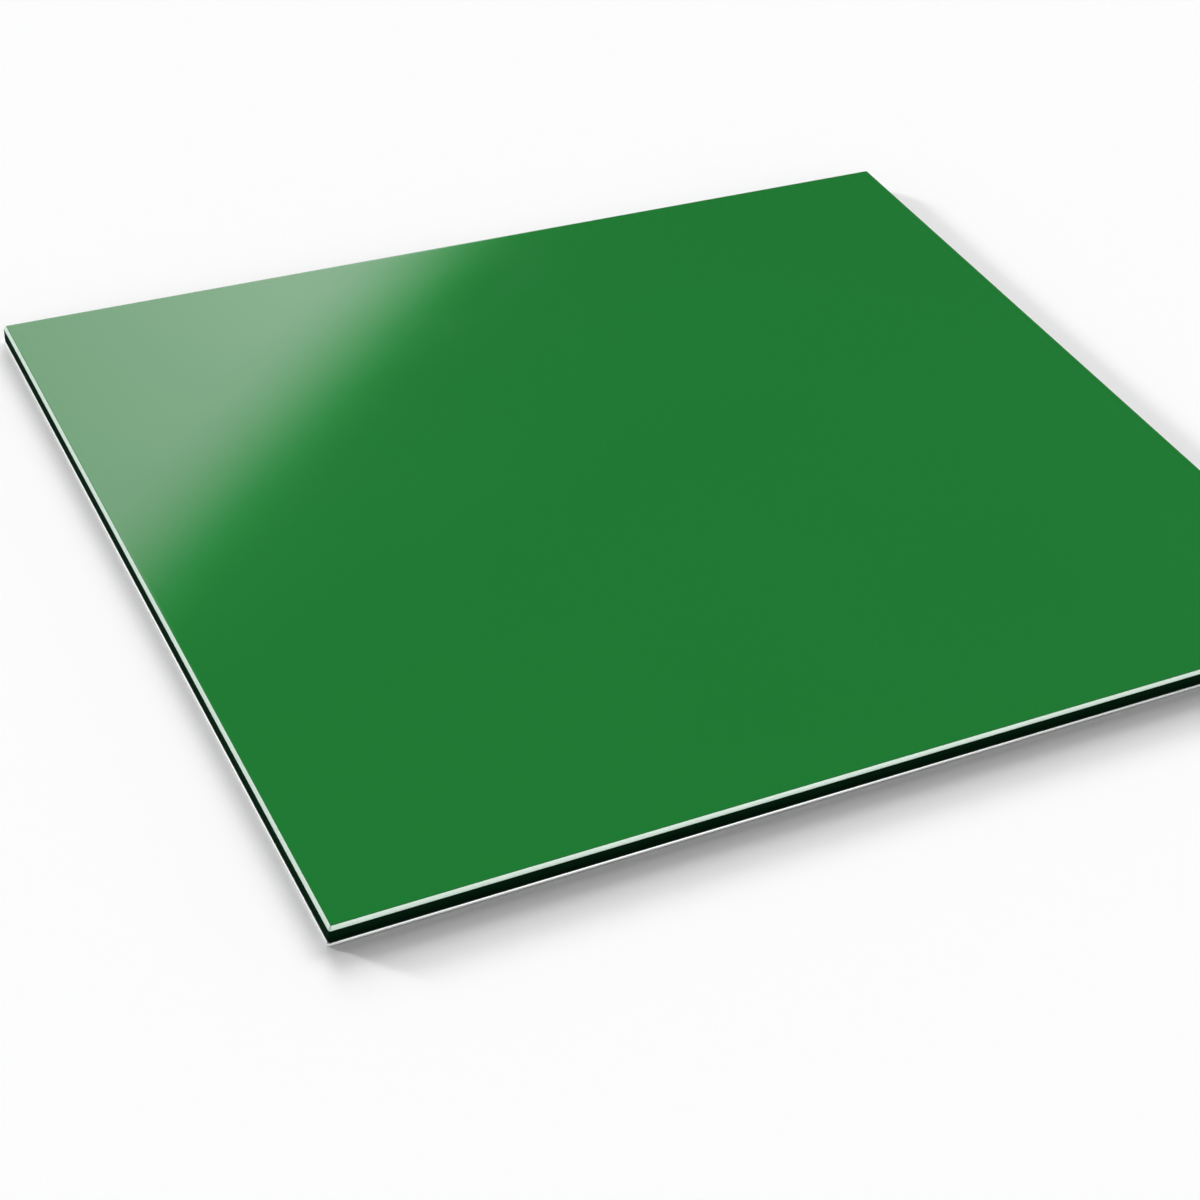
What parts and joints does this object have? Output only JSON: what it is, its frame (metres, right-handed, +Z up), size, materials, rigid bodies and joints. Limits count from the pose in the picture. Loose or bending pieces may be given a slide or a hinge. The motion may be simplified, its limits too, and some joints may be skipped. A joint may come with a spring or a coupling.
{
  "type": "aluminium composite panel",
  "caption": "Flat laminated facade panel: aluminium skins bonded to a black plastic core, glossy green coated face, bare bevelled edge.",
  "frame": {"origin": "middle of the underside, on the surface that the panel lies on", "axes": "+X along the longer side, +Y along the shorter side, +Z up through the layers to the green face"},
  "size_m": [0.1564, 0.1364, 0.003],
  "materials": {
    "green_coat": "gloss",
    "core_polyethylene": "matte",
    "bond_film": "satin",
    "bare_aluminium": "satin"
  },
  "bodies": {
    "root": {"face_skin": "green_coat", "face_bond_film": "bond_film", "core": "core_polyethylene", "back_bond_film": "bond_film", "back_skin": "bare_aluminium"}
  },
  "joints": []
}
